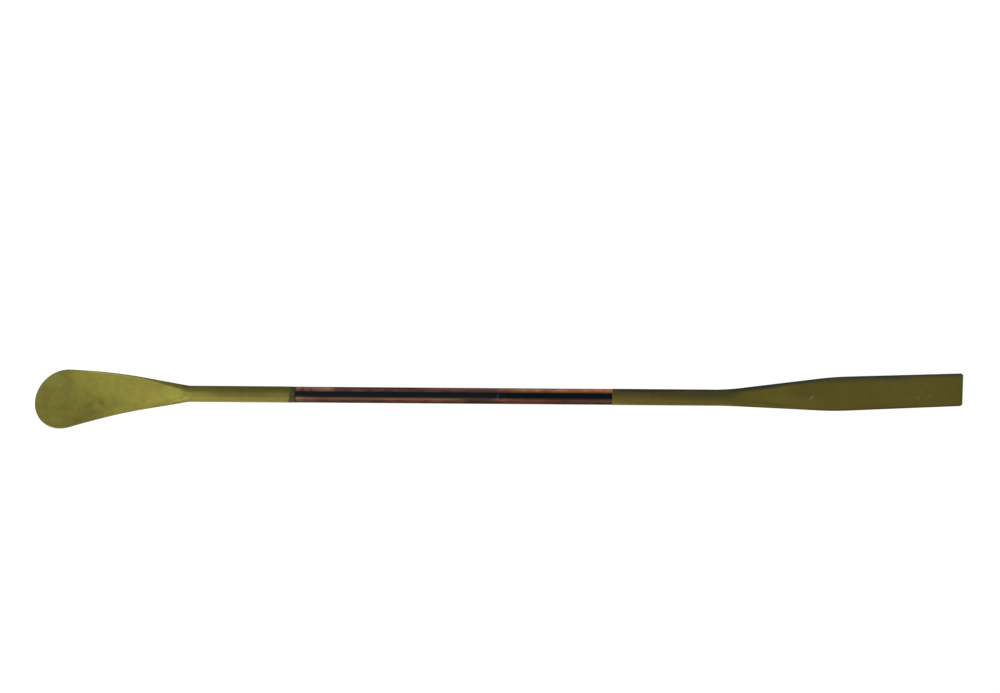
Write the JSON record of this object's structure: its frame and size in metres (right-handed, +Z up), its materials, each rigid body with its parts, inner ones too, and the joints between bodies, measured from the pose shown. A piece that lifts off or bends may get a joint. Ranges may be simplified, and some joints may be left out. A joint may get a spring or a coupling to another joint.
{
  "type": "lab spatula",
  "caption": "Double-ended lab spatula forged from round rod: a shallow skewed spoon at one end, a square-cut flat blade at the other, coated ends and a bare grip.",
  "frame": {"origin": "middle of the overall box on X and Y, on the plane that the rod, the flat blade and the neck of the spoon rest on", "axes": "+X along the rod from the spoon to the flat blade, +Y the side to which the flat blade leans, +Z up, out of the bowl"},
  "size_m": [0.2101, 0.014, 0.0037],
  "materials": {
    "coated_steel": "satin olive-green non-stick coating, baked on both ends",
    "tinted_steel": "bare polished steel of the grip, tinted copper to purple by the heat that baked the coating"
  },
  "bodies": {
    "root": {"spatula": "coated_steel"}
  },
  "joints": []
}
